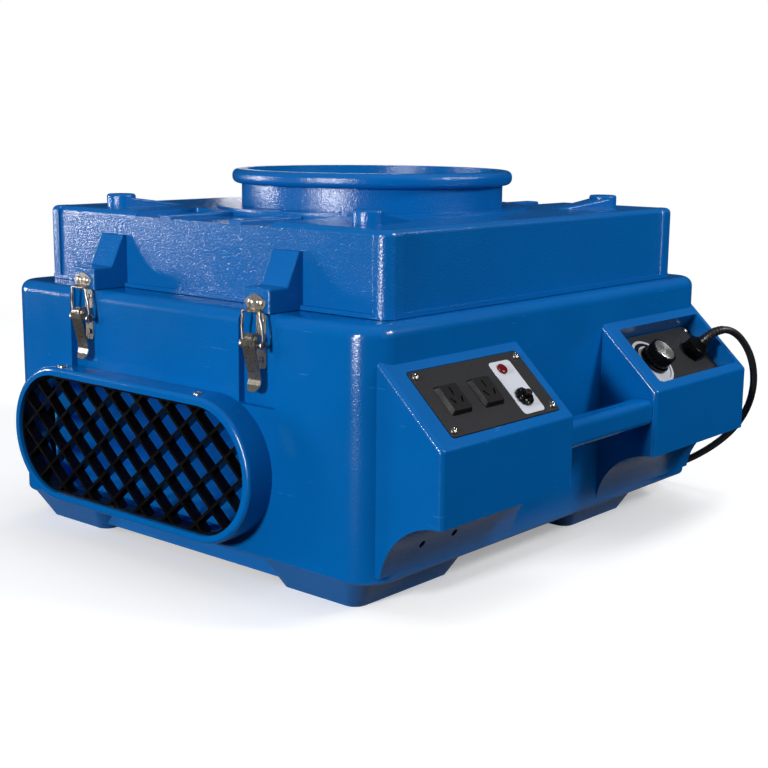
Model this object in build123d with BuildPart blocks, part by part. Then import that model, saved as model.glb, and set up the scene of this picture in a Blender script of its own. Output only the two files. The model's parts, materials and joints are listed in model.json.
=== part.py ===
from build123d import *
import math
import os

os.makedirs("parts", exist_ok=True)

# A low portable air scrubber: a moulded base with a side exhaust, a control side with
# two sloped pods and a carrying bar, and a lift-off lid with a round duct collar.
# Millimetres, +Z up. The exhaust faces -Y and the control side faces +X.
# Positions are given from the middle of the base; centre_x and centre_y carry them to
# the row's origin, which is the middle of the whole object's footprint on the ground.

# ---- driving dimensions: base
base_half_x = 255.0
base_half_y = 284.0
base_corner = 30.0
rim_shoulder = 11.0
lip_z = 28.0
rim_z = 255.0
wall = 5.0
deck_open_x = 216.0
deck_open_y = 226.0
pan_z = 7.0
pan_x = (-200.0, 175.0)
pan_y = (-264.0, 240.0)
foot_x = (128.0, 223.0)
foot_y = ((-265.0, -130.0), (70.0, 182.0))
foot_flare = 16.0

# ---- driving dimensions: exhaust
ring_x = -38.0
ring_z = 107.5
ring_reach = 29.0
ring_half_length = 168.0
ring_inner_r = 61.0
ring_wall = 8.0
grille_recess = 3.5
grille_depth = 11.0
bar_width = 3.0
bar_pitch = 26.2
bar_angle = 40.5

# ---- driving dimensions: control side
pod_front_x = 321.0
pod_inner_y = 75.0
pod_outer_y = 271.0
slope_top_z = 221.0
slope_foot_z = 159.0
pod_floor_z = 92.0
cove_foot_z = 36.0
pod_edge = 4.0
pod_wall = 4.0
weep_at = ((-222.0, 58.0), (-176.0, 58.0))
weep_r = 3.5
handle_x = (295.0, 317.0)
handle_z = (124.5, 151.0)
panel_y = -169.0
panel_width = 158.0
panel_height = 70.0
panel_thick = 2.0
tray_y = 178.0
tray_depth = 22.0

# ---- driving dimensions: lid
lid_half_x = 237.5
lid_half_y = 245.0
lid_z = 255.5
lid_top_z = 332.0
lid_wall = 5.0
post_x = 220.0
post_y = 222.0
post_step = 3.0
lid_edge = 6.0
collar_y = 7.0
collar_top_z = 372.0
collar_neck_r = 141.0
collar_bore_r = 136.0
collar_bead = 15.0
flange_r = 168.0
dip_half_x = 97.0
dip_depth = 5.0
rib_x = 49.0
boss_half_w = 17.0
boss_foot_z = 277.0
boss_top_z = 308.0

# ---- driving dimensions: latches
latch_x = (-128.0, 119.0)
channel_width = 46.0
channel_depth = 7.0
channel_foot_z = 170.0
lever_pivot = (6.0, 233.0)
bail_pivot = (4.0, 227.0)
lever_reach = 11.0
lever_foot_z = 184.0
lever_half_w = 8.0
bail_half_w = 13.0
bail_wire = 1.3
bail_top_z = 257.0
nose_reach = 4.5
wire_gap = 0.4

# ---- driving dimensions: fan
fan_x = -13.0
fan_y = 70.0
fan_r = 185.0
fan_floor_z = 41.0
fan_lid_z = 165.5
impeller_r = 118.0
fan_deck_z = 186.0

centre_x = (base_half_x - pod_front_x) / 2
centre_y = (ring_reach - lever_reach) / 2

slope_run = pod_front_x - base_half_x
slope_fall = slope_top_z - slope_foot_z
slope_length = math.hypot(slope_run, slope_fall)
slope_normal = (slope_fall / slope_length, 0, slope_run / slope_length)


def level(z):
    """Plan view plane at height z, with its origin over the middle of the base."""
    return Plane((centre_x, centre_y, z))


def front(y, x=0.0):
    """Plane facing -Y: local x is +X and local y is height."""
    return Plane((centre_x + x, centre_y + y, 0), x_dir=(1, 0, 0), z_dir=(0, -1, 0))


def right(x):
    """Plane facing +X: local x is +Y and local y is height."""
    return Plane((centre_x + x, centre_y, 0), x_dir=(0, 1, 0), z_dir=(1, 0, 0))


def slope(lift=0.0):
    """Plane on the pods' sloped tops: local x is +Y, local y runs up the slope."""
    middle = ((base_half_x + pod_front_x) / 2, 0, (slope_top_z + slope_foot_z) / 2)
    spot = [middle[i] + lift * slope_normal[i] for i in range(3)]
    return Plane(
        (centre_x + spot[0], centre_y, spot[2]), x_dir=(0, 1, 0), z_dir=slope_normal
    )


def place(plane, x, y, z=0.0):
    """Plane moved within itself to local x, y, z."""
    return Plane(plane.from_local_coords((x, y, z)), x_dir=plane.x_dir, z_dir=plane.z_dir)


def finish(block, label):
    """Label a finished piece, write its STEP file and keep its name."""
    block.part.label = label
    export_step(block.part, f"parts/{label}.step")
    return block


# ------------------------------------------------------------------ base moulding
def pods(skin):
    """Both pods as solids, drawn inside their walls by the thickness skin."""
    steep = slope_fall / slope_run
    lower = skin * slope_length / slope_run
    inside_x = base_half_x - 20
    nose_x = pod_front_x - skin
    under_z = pod_floor_z + skin
    cove = ((315, under_z), (273.5, 73.5 + skin), (base_half_x, cove_foot_z + skin))
    with BuildPart() as pair:
        for side in (-1, 1):
            middle_y = side * (pod_outer_y + pod_inner_y) / 2
            half_width = (pod_outer_y - pod_inner_y) / 2 - skin
            with BuildSketch(front(middle_y)):
                with BuildLine():
                    Polyline(
                        cove[2],
                        (inside_x, cove_foot_z + skin),
                        (inside_x, slope_foot_z + (pod_front_x - inside_x) * steep - lower),
                        (nose_x, slope_foot_z + skin * steep - lower),
                        (nose_x, under_z),
                        cove[0],
                    )
                    ThreePointArc(*cove)
                make_face()
            extrude(amount=half_width, both=True)
    return pair


with BuildPart() as pod_skin:
    add(pods(0).part)
    outward = centre_x + base_half_x + 12
    pod_edges = [
        edge for edge in pod_skin.edges() if edge.center().X > outward and edge.center().Z > 100
    ]
    fillet(pod_edges, radius=pod_edge)

with BuildPart() as base_shell:
    with BuildSketch(level(lip_z)):
        RectangleRounded(2 * base_half_x, 2 * base_half_y, base_corner)
    extrude(amount=rim_z - lip_z)
    fillet(base_shell.edges().group_by(Axis.Z)[-1], radius=rim_shoulder)
    fillet(base_shell.edges().group_by(Axis.Z)[0], radius=4)
    # exhaust ring
    with BuildSketch(front(-base_half_y + wall, ring_x)):
        with Locations((0, ring_z)):
            SlotOverall(
                2 * (ring_half_length + ring_wall), 2 * (ring_inner_r + ring_wall)
            )
    extrude(amount=ring_reach + wall)
    ring_rim = base_shell.edges().group_by(Axis.Y)[0]
    fillet(ring_rim, radius=3.5)
    # pan and feet
    with BuildSketch(level(pan_z)):
        with Locations((sum(pan_x) / 2, sum(pan_y) / 2)):
            RectangleRounded(pan_x[1] - pan_x[0], pan_y[1] - pan_y[0], 20)
    extrude(amount=lip_z + 1 - pan_z)
    for side in (-1, 1):
        for y_from, y_to in foot_y:
            foot_middle = (side * sum(foot_x) / 2, (y_from + y_to) / 2)
            foot_size = (foot_x[1] - foot_x[0], y_to - y_from)
            with BuildSketch(level(0)):
                with Locations(foot_middle):
                    RectangleRounded(*foot_size, 12)
            with BuildSketch(level(lip_z + 0.5)):
                with Locations(foot_middle):
                    RectangleRounded(
                        foot_size[0] + 2 * foot_flare, foot_size[1] + 2 * foot_flare, 16
                    )
            loft()
    # handle bar and pods
    with BuildSketch(front(0)):
        with Locations(((handle_x[0] + handle_x[1]) / 2, (handle_z[0] + handle_z[1]) / 2)):
            RectangleRounded(handle_x[1] - handle_x[0], handle_z[1] - handle_z[0], 7)
    extrude(amount=pod_inner_y + 3, both=True)
    add(pod_skin.part)
    # hollow of the base, open through the deck
    with BuildSketch(level(lip_z + wall)):
        RectangleRounded(2 * (base_half_x - wall), 2 * (base_half_y - wall), base_corner - wall)
    extrude(amount=rim_z - wall - lip_z - wall, mode=Mode.SUBTRACT)
    with BuildSketch(level(rim_z - wall - 1)):
        RectangleRounded(2 * deck_open_x, 2 * deck_open_y, 28)
    extrude(amount=wall + 4, mode=Mode.SUBTRACT)
    with BuildSketch(level(pan_z + wall)):
        with Locations((sum(pan_x) / 2, sum(pan_y) / 2)):
            RectangleRounded(pan_x[1] - pan_x[0] - 2 * wall, pan_y[1] - pan_y[0] - 2 * wall, 15)
    extrude(amount=lip_z - pan_z + 1, mode=Mode.SUBTRACT)
    # hollow of the pods
    add(pods(pod_wall).part, mode=Mode.SUBTRACT)
    # wall that backs the recessed tray of the far pod
    with BuildSketch(slope(-tray_depth - 4)):
        with Locations((tray_y, 0)):
            RectangleRounded(panel_width + 20, panel_height + 12, 6)
    extrude(amount=tray_depth + 3)
    with BuildSketch(slope(-tray_depth)):
        with Locations((tray_y, 0)):
            RectangleRounded(panel_width + 8, panel_height + 1, 4)
    extrude(amount=tray_depth + 12, mode=Mode.SUBTRACT)
    with BuildSketch(slope(-tray_depth - 20)):
        with Locations((tray_y, 0)):
            RectangleRounded(panel_width - 30, panel_height - 24, 4)
    extrude(amount=21, mode=Mode.SUBTRACT)
    # opening and shallow seat for the outlet panel
    with BuildSketch(slope(-1.5)):
        with Locations((panel_y, 0)):
            RectangleRounded(panel_width + 2, panel_height + 2, 4)
    extrude(amount=6, mode=Mode.SUBTRACT)
    with BuildSketch(slope(-12)):
        with Locations((panel_y, 0)):
            RectangleRounded(panel_width - 22, panel_height - 20, 4)
    extrude(amount=14, mode=Mode.SUBTRACT)
    # walls behind the latch channels, then the channels
    for x in latch_x:
        for side in (-1, 1):
            channel_z = (channel_foot_z + rim_z) / 2
            with BuildSketch(front(side * (base_half_y - 8), x)):
                with Locations((0, channel_z - 4)):
                    Rectangle(channel_width + 10, rim_z - channel_foot_z)
            extrude(amount=5, both=True)
    for x in latch_x:
        for side in (-1, 1):
            with BuildSketch(front(side * (base_half_y - channel_depth / 2 + 2), x)):
                with Locations((0, channel_z + 10)):
                    RectangleRounded(channel_width, rim_z - channel_foot_z + 20, 3)
            extrude(amount=channel_depth / 2 + 2, both=True, mode=Mode.SUBTRACT)
    # exhaust opening
    with BuildSketch(front(-base_half_y + 20, ring_x)):
        with Locations((0, ring_z)):
            SlotOverall(2 * ring_half_length, 2 * ring_inner_r)
    extrude(amount=ring_reach + 30, mode=Mode.SUBTRACT)
    # weep holes in the cove under the near pod
    with BuildSketch(right(base_half_x - 2 * wall)):
        with Locations(*weep_at):
            Circle(weep_r)
    extrude(amount=pod_front_x - base_half_x, mode=Mode.SUBTRACT)
base_shell = finish(base_shell, "base_shell")

# ------------------------------------------------------------------ exhaust grille
with BuildPart() as exhaust_grille:
    grille_front = -base_half_y - ring_reach + grille_recess
    with BuildSketch(front(grille_front + grille_depth, ring_x)):
        for step in range(-9, 10):
            for lean in (-1, 1):
                along = step * bar_pitch / math.sin(math.radians(bar_angle))
                with Locations(Location((along, ring_z, 0), (0, 0, lean * bar_angle))):
                    Rectangle(3 * ring_inner_r, bar_width)
        with Locations((0, ring_z)):
            SlotOverall(
                2 * ring_half_length - 3, 2 * ring_inner_r - 3, mode=Mode.INTERSECT
            )
    extrude(amount=grille_depth)
    with BuildSketch(front(grille_front + grille_depth + 3, ring_x)):
        with Locations((0, ring_z)):
            SlotOverall(2 * ring_half_length - 1, 2 * ring_inner_r - 1)
            SlotOverall(
                2 * ring_half_length - 6, 2 * ring_inner_r - 6, mode=Mode.SUBTRACT
            )
    extrude(amount=grille_depth + 3)
finish(exhaust_grille, "exhaust_grille")

grille_screw_x = (-104.0, 100.0)
with BuildPart() as grille_screws:
    for x in grille_screw_x:
        for side in (-1, 1):
            head_z = ring_z + side * (ring_inner_r + ring_wall)
            with BuildSketch(place(level(head_z), ring_x + x, grille_front + 6.5)):
                Circle(4)
            extrude(amount=side * 2.2)
finish(grille_screws, "grille_screws")


# ------------------------------------------------------------------ outlet panel
label_y = -125.0
lamp_at = (-128.0, 18.3)
breaker_at = (-127.0, -14.7)
socket_y = (-217.0, -170.5)
socket_up = -0.2
socket_foot = (28.0, 31.0)
socket_face = (24.0, 27.0)
socket_rise = 4.5
lamp_hole_r = 4.0
breaker_hole_r = 6.0
breaker_bore_r = 3.3
panel_seat = 1.5
panel_top = panel_thick - panel_seat
screw_r = 3.6
screw_rise = 1.8
screw_slot = (4.6, 1.0, 0.6)
panel_screw_at = [
    (panel_y + side * (panel_width / 2 - 6), up * (panel_height / 2 - 6))
    for side in (-1, 1)
    for up in (-1, 1)
]

with BuildPart() as outlet_panel:
    with BuildSketch(slope(-panel_seat)):
        with Locations((panel_y, 0)):
            RectangleRounded(panel_width, panel_height, 3)
        with Locations(*[(y, socket_up) for y in socket_y]):
            RectangleRounded(20, 23, 1.5, mode=Mode.SUBTRACT)
        with Locations(lamp_at):
            Circle(lamp_hole_r, mode=Mode.SUBTRACT)
        with Locations(breaker_at):
            Circle(breaker_hole_r, mode=Mode.SUBTRACT)
    extrude(amount=panel_thick)
finish(outlet_panel, "outlet_panel")

with BuildPart() as outlet_panel_screws:
    for spot in panel_screw_at:
        with BuildSketch(place(slope(panel_top), *spot)):
            Circle(screw_r)
        extrude(amount=screw_rise)
        with BuildSketch(place(slope(panel_top + screw_rise), *spot)):
            Circle(screw_r)
            Rectangle(screw_slot[0], screw_slot[1], mode=Mode.SUBTRACT)
            Rectangle(screw_slot[1], screw_slot[0], mode=Mode.SUBTRACT)
        extrude(amount=screw_slot[2])
finish(outlet_panel_screws, "outlet_panel_screws")

# three flat blades: an upright earth above, two that close to a V below
blade_slots = (((0, 6.3), 90, 8.0), ((-6.0, -3.4), 120, 7.0), ((6.0, -3.4), 60, 7.0))
for number, y in enumerate(socket_y, start=1):
    with BuildPart() as socket_outlet:
        with BuildSketch(place(slope(panel_top), y, socket_up)):
            RectangleRounded(*socket_foot, 2)
        with BuildSketch(place(slope(panel_top + socket_rise), y, socket_up)):
            RectangleRounded(*socket_face, 2)
        loft()
        with BuildSketch(place(slope(panel_top - 18), y, socket_up)):
            RectangleRounded(19.6, 22.6, 1.3)
        extrude(amount=18)
        with BuildSketch(place(slope(panel_top - 10), y, socket_up)):
            for spot, lean, length in blade_slots:
                with Locations(Location((*spot, 0), (0, 0, lean))):
                    Rectangle(length, 1.9)
        extrude(amount=20, mode=Mode.SUBTRACT)
    finish(socket_outlet, f"socket_outlet_{number}")

with BuildPart() as panel_label:
    with BuildSketch(slope(panel_top)):
        with Locations((label_y, -2.0)):
            RectangleRounded(32, 59, 4)
        with Locations(lamp_at):
            Circle(lamp_hole_r, mode=Mode.SUBTRACT)
        with Locations(breaker_at):
            Circle(breaker_hole_r, mode=Mode.SUBTRACT)
    extrude(amount=0.3)
finish(panel_label, "panel_label")

with BuildPart() as filter_lamp:
    with BuildSketch(place(slope(panel_top + 0.3), *lamp_at)):
        Circle(5.4)
    extrude(amount=2.6)
    fillet(filter_lamp.edges().sort_by(SortBy.LENGTH)[-1], radius=1.4)
    with BuildSketch(place(slope(panel_top - 14), *lamp_at)):
        Circle(3.9)
    extrude(amount=14.3)
finish(filter_lamp, "filter_lamp")

with BuildPart() as breaker_body:
    with BuildSketch(place(slope(panel_top - 24), *breaker_at)):
        Circle(5.8)
        Circle(breaker_bore_r, mode=Mode.SUBTRACT)
    extrude(amount=24.3)
    with BuildSketch(place(slope(panel_top - 25), *breaker_at)):
        Circle(5.8)
    extrude(amount=3)
    with BuildSketch(place(slope(panel_top + 0.3), *breaker_at)):
        RegularPolygon(9.4, 6)
        Circle(breaker_bore_r, mode=Mode.SUBTRACT)
    extrude(amount=3.0)
    with BuildSketch(place(slope(panel_top + 3.3), *breaker_at)):
        Circle(6.8)
        Circle(breaker_bore_r, mode=Mode.SUBTRACT)
    extrude(amount=2.2)
finish(breaker_body, "breaker_body")

with BuildPart() as breaker_button:
    with BuildSketch(place(slope(panel_top - 15), *breaker_at)):
        Circle(3.25)
    extrude(amount=25)
    fillet(breaker_button.edges().group_by(Axis(slope().origin, slope().z_dir))[-1], radius=0.8)
finish(breaker_button, "breaker_button")

# ------------------------------------------------------------------ speed panel
knob_at = (147.0, 0.3)
gland_at = (232.0, 0.3)
gland_hole_r = 8.0
bush_hole_r = 4.8
knob_r = 15.2
knob_cap_r = 12.6
dial_r = 28.0
shaft_r = 3.0
knob_height = 17.0
plate_top = panel_thick - tray_depth

with BuildPart() as speed_panel:
    with BuildSketch(slope(-tray_depth)):
        with Locations((tray_y, 0)):
            RectangleRounded(panel_width + 6, panel_height - 1, 3)
        with Locations(knob_at):
            Circle(bush_hole_r, mode=Mode.SUBTRACT)
        with Locations(gland_at):
            Circle(gland_hole_r, mode=Mode.SUBTRACT)
    extrude(amount=panel_thick)
finish(speed_panel, "speed_panel")

with BuildPart() as speed_panel_screws:
    for side in (-1, 1):
        for up in (-1, 1):
            spot = (tray_y + side * (panel_width / 2 - 4), up * (panel_height / 2 - 6))
            with BuildSketch(place(slope(plate_top), *spot)):
                Circle(screw_r)
            extrude(amount=screw_rise)
            with BuildSketch(place(slope(plate_top + screw_rise), *spot)):
                Circle(screw_r)
                Rectangle(screw_slot[0], screw_slot[1], mode=Mode.SUBTRACT)
                Rectangle(screw_slot[1], screw_slot[0], mode=Mode.SUBTRACT)
            extrude(amount=screw_slot[2])
finish(speed_panel_screws, "speed_panel_screws")

with BuildPart() as dial_scale:
    with BuildSketch(place(slope(plate_top), *knob_at)):
        Circle(dial_r)
        Circle(bush_hole_r, mode=Mode.SUBTRACT)
    extrude(amount=0.4)
finish(dial_scale, "dial_scale")

with BuildPart() as speed_control_body:
    with BuildSketch(place(slope(-tray_depth - 24), *knob_at)):
        RectangleRounded(34, 34, 4)
    extrude(amount=24)
    with BuildSketch(place(slope(-tray_depth), *knob_at)):
        Circle(4.7)
    extrude(amount=6)
    with BuildSketch(place(slope(-tray_depth - 14), *knob_at)):
        Circle(3.05)
    extrude(amount=30, mode=Mode.SUBTRACT)
finish(speed_control_body, "speed_control_body")

knob_foot = plate_top + 2.4
with BuildPart() as knob_shaft:
    with BuildSketch(place(slope(-tray_depth - 13), *knob_at)):
        Circle(shaft_r)
    extrude(amount=28.9)
finish(knob_shaft, "knob_shaft")

with BuildPart() as speed_knob:
    with BuildSketch(place(slope(knob_foot), *knob_at)):
        Circle(knob_r)
        with PolarLocations(knob_r + 0.2, 18):
            Circle(1.2, mode=Mode.SUBTRACT)
    extrude(amount=knob_height)
    with BuildSketch(place(slope(knob_foot), *knob_at)):
        Circle(knob_r + 2)
    extrude(amount=2.2)
    with BuildSketch(place(slope(knob_foot - 1), *knob_at)):
        Circle(6.0)
    extrude(amount=5.0, mode=Mode.SUBTRACT)
    with BuildSketch(place(slope(knob_foot - 1), *knob_at)):
        Circle(shaft_r)
    extrude(amount=12.6, mode=Mode.SUBTRACT)
finish(speed_knob, "speed_knob")

with BuildPart() as knob_cap:
    with BuildSketch(place(slope(knob_foot + knob_height), *knob_at)):
        Circle(knob_cap_r)
    extrude(amount=1.2)
finish(knob_cap, "knob_cap")

cord_r = 4.0
gland_bore_r = 4.6
gland_nut_r = 12.8
gland_tip = 19.0
with BuildPart() as cable_gland:
    with BuildSketch(place(slope(-tray_depth - 10), *gland_at)):
        Circle(7.9)
    extrude(amount=12)
    with BuildSketch(place(slope(plate_top), *gland_at)):
        RegularPolygon(gland_nut_r + 1.5, 6)
    extrude(amount=4)
    with BuildSketch(place(slope(-tray_depth - 11), *gland_at)):
        Circle(gland_bore_r)
    extrude(amount=40, mode=Mode.SUBTRACT)
finish(cable_gland, "cable_gland")

with BuildPart() as gland_nut:
    with BuildSketch(place(slope(plate_top + 4), *gland_at)):
        Circle(gland_nut_r)
        with PolarLocations(gland_nut_r + 0.2, 16):
            Circle(1.1, mode=Mode.SUBTRACT)
    extrude(amount=9)
    with BuildSketch(place(slope(plate_top + 13), *gland_at)):
        Circle(gland_nut_r - 1.4)
    with BuildSketch(place(slope(plate_top + gland_tip), *gland_at)):
        Circle(6.4)
    loft()
    with BuildSketch(place(slope(plate_top + 3), *gland_at)):
        Circle(gland_bore_r)
    extrude(amount=14, mode=Mode.SUBTRACT)
finish(gland_nut, "gland_nut")

# ------------------------------------------------------------------ lid moulding
with BuildPart() as corner_posts:
    with BuildSketch(level(lid_z)):
        RectangleRounded(2 * lid_half_x, 2 * lid_half_y, 12)
    extrude(amount=lid_top_z - lid_z)
    fillet(corner_posts.edges().group_by(Axis.Z)[-1], radius=lid_edge)
    with BuildSketch(level(lid_z - 1)):
        Rectangle(2 * post_x, 3 * lid_half_y)
        Rectangle(3 * lid_half_x, 2 * post_y)
    extrude(amount=lid_top_z - lid_z + 2, mode=Mode.SUBTRACT)
    upright = corner_posts.edges().filter_by(Axis.Z)
    inner_corner = math.hypot(post_x, post_y) + 1
    fillet(
        [
            edge
            for edge in upright
            if math.hypot(edge.center().X - centre_x, edge.center().Y - centre_y) > inner_corner
        ],
        radius=post_step - 1,
    )

lug_head = (174.0, -197.0)
lug_tail = (160.0, -122.0)
lug_height = 13.0
lug_head_r = 15.0
lug_tail_r = 7.0
lug_slope = math.radians(7.5)
lug_run = math.hypot(lug_tail[0] - lug_head[0], lug_tail[1] - lug_head[1])
lug_fall = (
    math.sin(lug_slope) * (lug_tail[0] - lug_head[0]) / lug_run,
    math.sin(lug_slope) * (lug_tail[1] - lug_head[1]) / lug_run,
    math.cos(lug_slope),
)
with BuildPart() as lug:
    with BuildSketch(level(lid_top_z - 2)):
        with Locations(lug_head):
            Circle(lug_head_r)
        with Locations(lug_tail):
            Circle(lug_tail_r)
        make_hull()
    extrude(amount=lug_height + 2)
    ramp = Plane(place(level(lid_top_z + lug_height - 3), *lug_head).origin, z_dir=lug_fall)
    split(bisect_by=ramp, keep=Keep.BOTTOM)
    fillet(lug.faces().sort_by(Axis.Z)[-1].edges(), radius=2)
    with BuildSketch(level(lid_top_z - 2)):
        with Locations(lug_head):
            Circle(lug_head_r)
    extrude(amount=lug_height + 2)
    fillet(lug.edges().group_by(Axis.Z)[-1], radius=2.5)

with BuildPart() as dip_rib:
    with BuildSketch(place(level(lid_top_z - 6), rib_x, -202)):
        Rectangle(16, 82)
    extrude(amount=5.4)
    fillet(dip_rib.edges().group_by(Axis.Z)[-1], radius=2)

with BuildPart() as latch_boss:
    front_y = centre_y - lid_half_y
    boss_reach = base_half_y - lid_half_y
    with BuildSketch(Plane((centre_x, front_y, 0), x_dir=(0, -1, 0), z_dir=(-1, 0, 0))):
        Polygon(
            (-6, lid_z),
            (boss_reach, lid_z),
            (boss_reach, boss_foot_z),
            (17, boss_foot_z),
            (2, boss_top_z),
            (-6, boss_top_z),
            align=None,
        )
    extrude(amount=boss_half_w, both=True)
    fillet(
        [
            edge
            for edge in latch_boss.edges()
            if edge.center().Y < front_y - 1 and edge.center().Z > lid_z + 1
        ],
        radius=2,
    )

across_middle = Plane.YZ.offset(centre_x)
along_middle = Plane.XZ.offset(-centre_y)
with BuildPart() as lid_shell:
    with BuildSketch(level(lid_z)):
        RectangleRounded(
            2 * (lid_half_x - post_step), 2 * (lid_half_y - post_step), 12
        )
    extrude(amount=lid_top_z - lid_z)
    fillet(lid_shell.edges().group_by(Axis.Z)[-1], radius=lid_edge)
    add(corner_posts.part)
    with BuildSketch(level(lid_z)):
        RectangleRounded(2 * lid_half_x + 1, 2 * lid_half_y + 1, 12)
    extrude(amount=4)
    # dip in the front and back top edges, with two ribs in each
    for side in (-1, 1):
        with BuildSketch(place(level(lid_top_z - dip_depth), 0, side * 205)):
            RectangleRounded(2 * dip_half_x, 90, 3)
        extrude(amount=6, mode=Mode.SUBTRACT)
    add(dip_rib.part)
    add(dip_rib.part.mirror(across_middle))
    add(dip_rib.part.mirror(along_middle))
    add(dip_rib.part.mirror(across_middle).mirror(along_middle))
    # low flange and duct collar
    with BuildSketch(place(level(lid_top_z - 6), 0, collar_y)):
        Circle(flange_r)
    extrude(amount=8)
    with BuildSketch(place(level(lid_top_z - 6), 0, collar_y)):
        Circle(collar_neck_r)
    extrude(amount=collar_top_z - lid_top_z + 6)
    with BuildSketch(front(collar_y)):
        with Locations((collar_neck_r + 2.5, collar_top_z - collar_bead / 2)):
            RectangleRounded(collar_bead, collar_bead, 6.5)
    revolve(axis=Axis((centre_x, centre_y + collar_y, 0), (0, 0, 1)))
    # stacking lugs
    add(lug.part)
    add(lug.part.mirror(across_middle))
    add(lug.part.mirror(along_middle))
    add(lug.part.mirror(across_middle).mirror(along_middle))
    # latch bosses
    for x in latch_x:
        add(Pos(x, 0, 0) * latch_boss.part)
        add(Pos(x, 0, 0) * latch_boss.part.mirror(along_middle))
    # hollow, open below, and the bore
    with BuildSketch(level(lid_z - 1)):
        RectangleRounded(
            2 * (lid_half_x - post_step - lid_wall), 2 * (lid_half_y - post_step - lid_wall), 8
        )
    extrude(amount=lid_top_z - dip_depth - lid_wall - lid_z + 1, mode=Mode.SUBTRACT)
    with BuildSketch(place(level(lid_top_z - 20), 0, collar_y)):
        Circle(collar_bore_r)
    extrude(amount=70, mode=Mode.SUBTRACT)
finish(lid_shell, "lid_shell")

with BuildPart() as lid_gasket:
    with BuildSketch(level(rim_z - 1.5)):
        RectangleRounded(2 * (deck_open_x - 0.5), 2 * (deck_open_y - 0.5), 27)
        RectangleRounded(2 * (deck_open_x - 6), 2 * (deck_open_y - 6), 22, mode=Mode.SUBTRACT)
    extrude(amount=5)
finish(lid_gasket, "lid_gasket")


# ------------------------------------------------------------------ latches
def latch_face(x, side):
    """Plane on the base's front or back face: local x across, local y up, local z outward."""
    origin = (centre_x + x, centre_y + side * base_half_y, 0)
    return Plane(origin, x_dir=(-side, 0, 0), z_dir=(0, side, 0))


def latch_section(x, side):
    """Plane through a latch's middle: local x outward, local y up."""
    origin = (centre_x + x, centre_y + side * base_half_y, 0)
    return Plane(origin, x_dir=(0, side, 0), z_dir=(side, 0, 0))


strap_thick = 1.2
plate_front = strap_thick - channel_depth
plate_half_w = 6.0
plate_rivet_z = (212.0, 247.0)
pin_r = 2.0
bail_pin_r = 1.5
bail_eye_r = 3.2
running = 0.05
bail_w = nose_reach + wire_gap + bail_wire
bail_height = math.hypot(bail_top_z - bail_pivot[1], bail_w - bail_pivot[0])

latches = [(x, side) for side in (-1, 1) for x in latch_x]
for number, (x, side) in enumerate(latches, start=1):
    face = latch_face(x, side)
    section = latch_section(x, side)

    # base plate with two ears that carry the lever's pin
    with BuildPart() as latch_plate:
        with BuildSketch(face.offset(-channel_depth)):
            with Locations((0, 229)):
                RectangleRounded(2 * plate_half_w, 50, 3)
        extrude(amount=strap_thick)
        for across in (-1, 1):
            with BuildSketch(section.offset(across * (plate_half_w - 0.6))):
                with Locations(lever_pivot):
                    Circle(3.0)
                with Locations(((lever_pivot[0] - channel_depth) / 2, lever_pivot[1])):
                    Rectangle(lever_pivot[0] + channel_depth, 6.0)
                with Locations(lever_pivot):
                    Circle(pin_r + running, mode=Mode.SUBTRACT)
            extrude(amount=0.6, both=True)
    finish(latch_plate, f"latch_plate_{number}")

    # strap with a turned-out tip, a knuckle, two cheeks and the pin that carries the bail
    with BuildPart() as latch_lever:
        with BuildSketch(section):
            with BuildLine():
                Polyline(
                    (lever_reach - 0.6, 231.6),
                    (lever_reach - 1.4, 226),
                    (3.0, 201),
                    (2.0, 195),
                    (3.2, 190),
                    (6.6, lever_foot_z + 0.6),
                )
            trace(line_width=strap_thick)
        extrude(amount=lever_half_w, both=True)
        with BuildSketch(face.offset(12)):
            tip_z = lever_foot_z + lever_half_w
            with Locations((0, tip_z - lever_half_w)):
                Rectangle(3 * lever_half_w, 2 * lever_half_w)
            with Locations((0, tip_z)):
                Circle(lever_half_w, mode=Mode.SUBTRACT)
        extrude(amount=-14, mode=Mode.SUBTRACT)
        with BuildSketch(section):
            with Locations(lever_pivot):
                Circle(4.4)
        extrude(amount=plate_half_w - 1.6, both=True)
        for across in (-1, 1):
            with BuildSketch(section.offset(across * (lever_half_w - 0.75))):
                with Locations(lever_pivot, bail_pivot):
                    Circle(3.4)
                with Locations((lever_reach - 3.4, 229)):
                    Circle(3.0)
                make_hull()
            extrude(amount=0.75, both=True)
        with BuildSketch(section):
            with Locations(lever_pivot):
                Circle(pin_r + running)
        extrude(amount=lever_half_w + 1, both=True, mode=Mode.SUBTRACT)
        for across in (-1, 1):
            with BuildSketch(section.offset(across * (lever_half_w - 1.5))):
                with Locations(bail_pivot):
                    Circle(bail_pin_r)
            extrude(amount=across * (bail_half_w - lever_half_w + 3.1))
    finish(latch_lever, f"latch_lever_{number}")

    tilt = (0, side * (bail_w - bail_pivot[0]), bail_top_z - bail_pivot[1])
    wire_plane = Plane(
        face.from_local_coords((0, bail_pivot[1], bail_pivot[0])),
        x_dir=(-side, 0, 0),
        z_dir=Vector(-side, 0, 0).cross(Vector(*tilt)),
    )
    with BuildPart() as latch_bail:
        with BuildLine(wire_plane):
            FilletPolyline(
                (-bail_half_w, bail_eye_r),
                (-bail_half_w, 15),
                (-11, 24),
                (-11, bail_height),
                (11, bail_height),
                (11, 24),
                (bail_half_w, 15),
                (bail_half_w, bail_eye_r),
                radius=2.6,
            )
        arm_foot = Plane(
            wire_plane.from_local_coords((-bail_half_w, bail_eye_r)), z_dir=wire_plane.y_dir
        )
        with BuildSketch(arm_foot):
            Circle(bail_wire)
        sweep()
        for across in (-1, 1):
            eye_middle = wire_plane.from_local_coords((across * bail_half_w, 0))
            with Locations(Plane(eye_middle, z_dir=(1, 0, 0))):
                Torus(bail_eye_r, bail_wire + 0.15)
    finish(latch_bail, f"latch_bail_{number}")

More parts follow.
